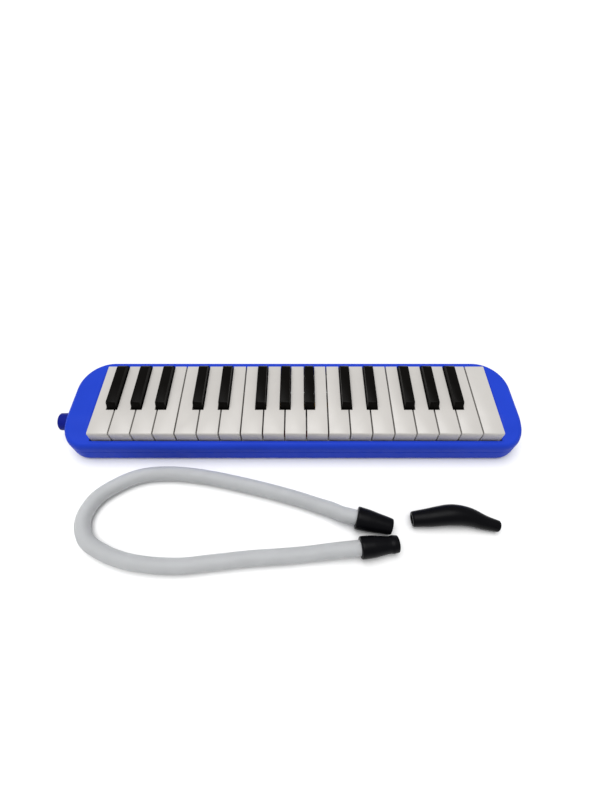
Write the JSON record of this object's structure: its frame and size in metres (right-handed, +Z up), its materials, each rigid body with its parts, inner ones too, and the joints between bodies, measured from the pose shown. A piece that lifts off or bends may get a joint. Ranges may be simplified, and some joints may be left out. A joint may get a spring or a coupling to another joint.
{
  "type": "melodica",
  "caption": "Blown keyboard reed instrument in a flat rounded case, with its looped blowing hose and a short curved mouthpiece lying in front of it.",
  "frame": {"origin": "centre of the flat underside of the casing, where the instrument stands", "axes": "+X along the keyboard from low to high notes, +Y from the player to the back of the instrument, +Z up"},
  "size_m": [0.4434, 0.201, 0.0426],
  "materials": {
    "case_blue": "glossy moulded ABS, royal blue",
    "port_blue": "satin moulded plastic, darker blue",
    "key_white": "glossy moulded plastic, warm white",
    "key_black": "satin moulded plastic, black",
    "board_plastic": "matt moulded plastic, light grey",
    "chamber_plastic": "matt moulded plastic, dark grey",
    "rubber_seal": "soft black rubber",
    "felt": "pressed wool felt, dark red",
    "brass": "rolled sheet brass",
    "steel": "plated steel",
    "hose_plastic": "milky flexible plastic, slightly see-through",
    "black_plastic": "satin moulded plastic, black"
  },
  "bodies": {
    "case": {"upper_case": "case_blue", "lower_case": "case_blue", "valve_board": "board_plastic", "key_shaft": "steel", "key_spring_comb": "brass", "front_felt": "felt", "reed_plate_low": "brass", "reed_plate_high": "brass", "air_chamber": "chamber_plastic", "chamber_gasket": "rubber_seal", "blow_port": "port_blue", "blow_port_seal": "rubber_seal", "water_valve_spring": "steel", "case_screw_1": "steel", "case_screw_2": "steel", "case_screw_3": "steel", "case_screw_4": "steel", "case_screw_5": "steel", "case_screw_6": "steel"},
    "key_F3_body": {"key_F3": "key_white"},
    "key_Fs3_body": {"key_Fs3": "key_black"},
    "key_G3_body": {"key_G3": "key_white"},
    "key_Gs3_body": {"key_Gs3": "key_black"},
    "key_A3_body": {"key_A3": "key_white"},
    "key_As3_body": {"key_As3": "key_black"},
    "key_B3_body": {"key_B3": "key_white"},
    "key_C4_body": {"key_C4": "key_white"},
    "key_Cs4_body": {"key_Cs4": "key_black"},
    "key_D4_body": {"key_D4": "key_white"},
    "key_Ds4_body": {"key_Ds4": "key_black"},
    "key_E4_body": {"key_E4": "key_white"},
    "key_F4_body": {"key_F4": "key_white"},
    "key_Fs4_body": {"key_Fs4": "key_black"},
    "key_G4_body": {"key_G4": "key_white"},
    "key_Gs4_body": {"key_Gs4": "key_black"},
    "key_A4_body": {"key_A4": "key_white"},
    "key_As4_body": {"key_As4": "key_black"},
    "key_B4_body": {"key_B4": "key_white"},
    "key_C5_body": {"key_C5": "key_white"},
    "key_Cs5_body": {"key_Cs5": "key_black"},
    "key_D5_body": {"key_D5": "key_white"},
    "key_Ds5_body": {"key_Ds5": "key_black"},
    "key_E5_body": {"key_E5": "key_white"},
    "key_F5_body": {"key_F5": "key_white"},
    "key_Fs5_body": {"key_Fs5": "key_black"},
    "key_G5_body": {"key_G5": "key_white"},
    "key_Gs5_body": {"key_Gs5": "key_black"},
    "key_A5_body": {"key_A5": "key_white"},
    "key_As5_body": {"key_As5": "key_black"},
    "key_B5_body": {"key_B5": "key_white"},
    "key_C6_body": {"key_C6": "key_white"},
    "water_button_body": {"water_button": "black_plastic", "water_valve_pad": "rubber_seal"},
    "hose_set": {"hose": "hose_plastic", "hose_plug": "black_plastic", "hose_mouthpiece": "black_plastic"},
    "mouthpiece_body": {"mouthpiece": "black_plastic"}
  },
  "joints": [
    {"name": "key_F3_press", "type": "hinge", "parent": "case", "child": "key_F3_body", "pos_m": [0, 0.014, 0.024], "axis": [1, 0, 0], "range_deg": [0, 3.5], "stiffness_Nm_per_rad": 0.15, "springref_deg": -8.59, "deforming": ["key_spring_comb"]},
    {"name": "key_Fs3_press", "type": "hinge", "parent": "case", "child": "key_Fs3_body", "pos_m": [0, 0.014, 0.024], "axis": [1, 0, 0], "range_deg": [0, 3.5], "stiffness_Nm_per_rad": 0.15, "springref_deg": -8.59, "deforming": ["key_spring_comb"]},
    {"name": "key_G3_press", "type": "hinge", "parent": "case", "child": "key_G3_body", "pos_m": [0, 0.014, 0.024], "axis": [1, 0, 0], "range_deg": [0, 3.5], "stiffness_Nm_per_rad": 0.15, "springref_deg": -8.59, "deforming": ["key_spring_comb"]},
    {"name": "key_Gs3_press", "type": "hinge", "parent": "case", "child": "key_Gs3_body", "pos_m": [0, 0.014, 0.024], "axis": [1, 0, 0], "range_deg": [0, 3.5], "stiffness_Nm_per_rad": 0.15, "springref_deg": -8.59, "deforming": ["key_spring_comb"]},
    {"name": "key_A3_press", "type": "hinge", "parent": "case", "child": "key_A3_body", "pos_m": [0, 0.014, 0.024], "axis": [1, 0, 0], "range_deg": [0, 3.5], "stiffness_Nm_per_rad": 0.15, "springref_deg": -8.59, "deforming": ["key_spring_comb"]},
    {"name": "key_As3_press", "type": "hinge", "parent": "case", "child": "key_As3_body", "pos_m": [0, 0.014, 0.024], "axis": [1, 0, 0], "range_deg": [0, 3.5], "stiffness_Nm_per_rad": 0.15, "springref_deg": -8.59, "deforming": ["key_spring_comb"]},
    {"name": "key_B3_press", "type": "hinge", "parent": "case", "child": "key_B3_body", "pos_m": [0, 0.014, 0.024], "axis": [1, 0, 0], "range_deg": [0, 3.5], "stiffness_Nm_per_rad": 0.15, "springref_deg": -8.59, "deforming": ["key_spring_comb"]},
    {"name": "key_C4_press", "type": "hinge", "parent": "case", "child": "key_C4_body", "pos_m": [0, 0.014, 0.024], "axis": [1, 0, 0], "range_deg": [0, 3.5], "stiffness_Nm_per_rad": 0.15, "springref_deg": -8.59, "deforming": ["key_spring_comb"]},
    {"name": "key_Cs4_press", "type": "hinge", "parent": "case", "child": "key_Cs4_body", "pos_m": [0, 0.014, 0.024], "axis": [1, 0, 0], "range_deg": [0, 3.5], "stiffness_Nm_per_rad": 0.15, "springref_deg": -8.59, "deforming": ["key_spring_comb"]},
    {"name": "key_D4_press", "type": "hinge", "parent": "case", "child": "key_D4_body", "pos_m": [0, 0.014, 0.024], "axis": [1, 0, 0], "range_deg": [0, 3.5], "stiffness_Nm_per_rad": 0.15, "springref_deg": -8.59, "deforming": ["key_spring_comb"]},
    {"name": "key_Ds4_press", "type": "hinge", "parent": "case", "child": "key_Ds4_body", "pos_m": [0, 0.014, 0.024], "axis": [1, 0, 0], "range_deg": [0, 3.5], "stiffness_Nm_per_rad": 0.15, "springref_deg": -8.59, "deforming": ["key_spring_comb"]},
    {"name": "key_E4_press", "type": "hinge", "parent": "case", "child": "key_E4_body", "pos_m": [0, 0.014, 0.024], "axis": [1, 0, 0], "range_deg": [0, 3.5], "stiffness_Nm_per_rad": 0.15, "springref_deg": -8.59, "deforming": ["key_spring_comb"]},
    {"name": "key_F4_press", "type": "hinge", "parent": "case", "child": "key_F4_body", "pos_m": [0, 0.014, 0.024], "axis": [1, 0, 0], "range_deg": [0, 3.5], "stiffness_Nm_per_rad": 0.15, "springref_deg": -8.59, "deforming": ["key_spring_comb"]},
    {"name": "key_Fs4_press", "type": "hinge", "parent": "case", "child": "key_Fs4_body", "pos_m": [0, 0.014, 0.024], "axis": [1, 0, 0], "range_deg": [0, 3.5], "stiffness_Nm_per_rad": 0.15, "springref_deg": -8.59, "deforming": ["key_spring_comb"]},
    {"name": "key_G4_press", "type": "hinge", "parent": "case", "child": "key_G4_body", "pos_m": [0, 0.014, 0.024], "axis": [1, 0, 0], "range_deg": [0, 3.5], "stiffness_Nm_per_rad": 0.15, "springref_deg": -8.59, "deforming": ["key_spring_comb"]},
    {"name": "key_Gs4_press", "type": "hinge", "parent": "case", "child": "key_Gs4_body", "pos_m": [0, 0.014, 0.024], "axis": [1, 0, 0], "range_deg": [0, 3.5], "stiffness_Nm_per_rad": 0.15, "springref_deg": -8.59, "deforming": ["key_spring_comb"]},
    {"name": "key_A4_press", "type": "hinge", "parent": "case", "child": "key_A4_body", "pos_m": [0, 0.014, 0.024], "axis": [1, 0, 0], "range_deg": [0, 3.5], "stiffness_Nm_per_rad": 0.15, "springref_deg": -8.59, "deforming": ["key_spring_comb"]},
    {"name": "key_As4_press", "type": "hinge", "parent": "case", "child": "key_As4_body", "pos_m": [0, 0.014, 0.024], "axis": [1, 0, 0], "range_deg": [0, 3.5], "stiffness_Nm_per_rad": 0.15, "springref_deg": -8.59, "deforming": ["key_spring_comb"]},
    {"name": "key_B4_press", "type": "hinge", "parent": "case", "child": "key_B4_body", "pos_m": [0, 0.014, 0.024], "axis": [1, 0, 0], "range_deg": [0, 3.5], "stiffness_Nm_per_rad": 0.15, "springref_deg": -8.59, "deforming": ["key_spring_comb"]},
    {"name": "key_C5_press", "type": "hinge", "parent": "case", "child": "key_C5_body", "pos_m": [0, 0.014, 0.024], "axis": [1, 0, 0], "range_deg": [0, 3.5], "stiffness_Nm_per_rad": 0.15, "springref_deg": -8.59, "deforming": ["key_spring_comb"]},
    {"name": "key_Cs5_press", "type": "hinge", "parent": "case", "child": "key_Cs5_body", "pos_m": [0, 0.014, 0.024], "axis": [1, 0, 0], "range_deg": [0, 3.5], "stiffness_Nm_per_rad": 0.15, "springref_deg": -8.59, "deforming": ["key_spring_comb"]},
    {"name": "key_D5_press", "type": "hinge", "parent": "case", "child": "key_D5_body", "pos_m": [0, 0.014, 0.024], "axis": [1, 0, 0], "range_deg": [0, 3.5], "stiffness_Nm_per_rad": 0.15, "springref_deg": -8.59, "deforming": ["key_spring_comb"]},
    {"name": "key_Ds5_press", "type": "hinge", "parent": "case", "child": "key_Ds5_body", "pos_m": [0, 0.014, 0.024], "axis": [1, 0, 0], "range_deg": [0, 3.5], "stiffness_Nm_per_rad": 0.15, "springref_deg": -8.59, "deforming": ["key_spring_comb"]},
    {"name": "key_E5_press", "type": "hinge", "parent": "case", "child": "key_E5_body", "pos_m": [0, 0.014, 0.024], "axis": [1, 0, 0], "range_deg": [0, 3.5], "stiffness_Nm_per_rad": 0.15, "springref_deg": -8.59, "deforming": ["key_spring_comb"]},
    {"name": "key_F5_press", "type": "hinge", "parent": "case", "child": "key_F5_body", "pos_m": [0, 0.014, 0.024], "axis": [1, 0, 0], "range_deg": [0, 3.5], "stiffness_Nm_per_rad": 0.15, "springref_deg": -8.59, "deforming": ["key_spring_comb"]},
    {"name": "key_Fs5_press", "type": "hinge", "parent": "case", "child": "key_Fs5_body", "pos_m": [0, 0.014, 0.024], "axis": [1, 0, 0], "range_deg": [0, 3.5], "stiffness_Nm_per_rad": 0.15, "springref_deg": -8.59, "deforming": ["key_spring_comb"]},
    {"name": "key_G5_press", "type": "hinge", "parent": "case", "child": "key_G5_body", "pos_m": [0, 0.014, 0.024], "axis": [1, 0, 0], "range_deg": [0, 3.5], "stiffness_Nm_per_rad": 0.15, "springref_deg": -8.59, "deforming": ["key_spring_comb"]},
    {"name": "key_Gs5_press", "type": "hinge", "parent": "case", "child": "key_Gs5_body", "pos_m": [0, 0.014, 0.024], "axis": [1, 0, 0], "range_deg": [0, 3.5], "stiffness_Nm_per_rad": 0.15, "springref_deg": -8.59, "deforming": ["key_spring_comb"]},
    {"name": "key_A5_press", "type": "hinge", "parent": "case", "child": "key_A5_body", "pos_m": [0, 0.014, 0.024], "axis": [1, 0, 0], "range_deg": [0, 3.5], "stiffness_Nm_per_rad": 0.15, "springref_deg": -8.59, "deforming": ["key_spring_comb"]},
    {"name": "key_As5_press", "type": "hinge", "parent": "case", "child": "key_As5_body", "pos_m": [0, 0.014, 0.024], "axis": [1, 0, 0], "range_deg": [0, 3.5], "stiffness_Nm_per_rad": 0.15, "springref_deg": -8.59, "deforming": ["key_spring_comb"]},
    {"name": "key_B5_press", "type": "hinge", "parent": "case", "child": "key_B5_body", "pos_m": [0, 0.014, 0.024], "axis": [1, 0, 0], "range_deg": [0, 3.5], "stiffness_Nm_per_rad": 0.15, "springref_deg": -8.59, "deforming": ["key_spring_comb"]},
    {"name": "key_C6_press", "type": "hinge", "parent": "case", "child": "key_C6_body", "pos_m": [0, 0.014, 0.024], "axis": [1, 0, 0], "range_deg": [0, 3.5], "stiffness_Nm_per_rad": 0.15, "springref_deg": -8.59, "deforming": ["key_spring_comb"]},
    {"name": "water_button_push", "type": "slide", "parent": "case", "child": "water_button_body", "axis": [-1, 0, 0], "range_m": [0, 0.0025], "stiffness_N_per_m": 150, "springref_m": -0.005, "deforming": ["water_valve_spring"]},
    {"name": "hose_lift", "type": "slide", "parent": "case", "child": "hose_set", "axis": [0, 0, 1], "range_m": [0, 0.06]},
    {"name": "mouthpiece_lift", "type": "slide", "parent": "case", "child": "mouthpiece_body", "axis": [0, 0, 1], "range_m": [0, 0.06]}
  ]
}
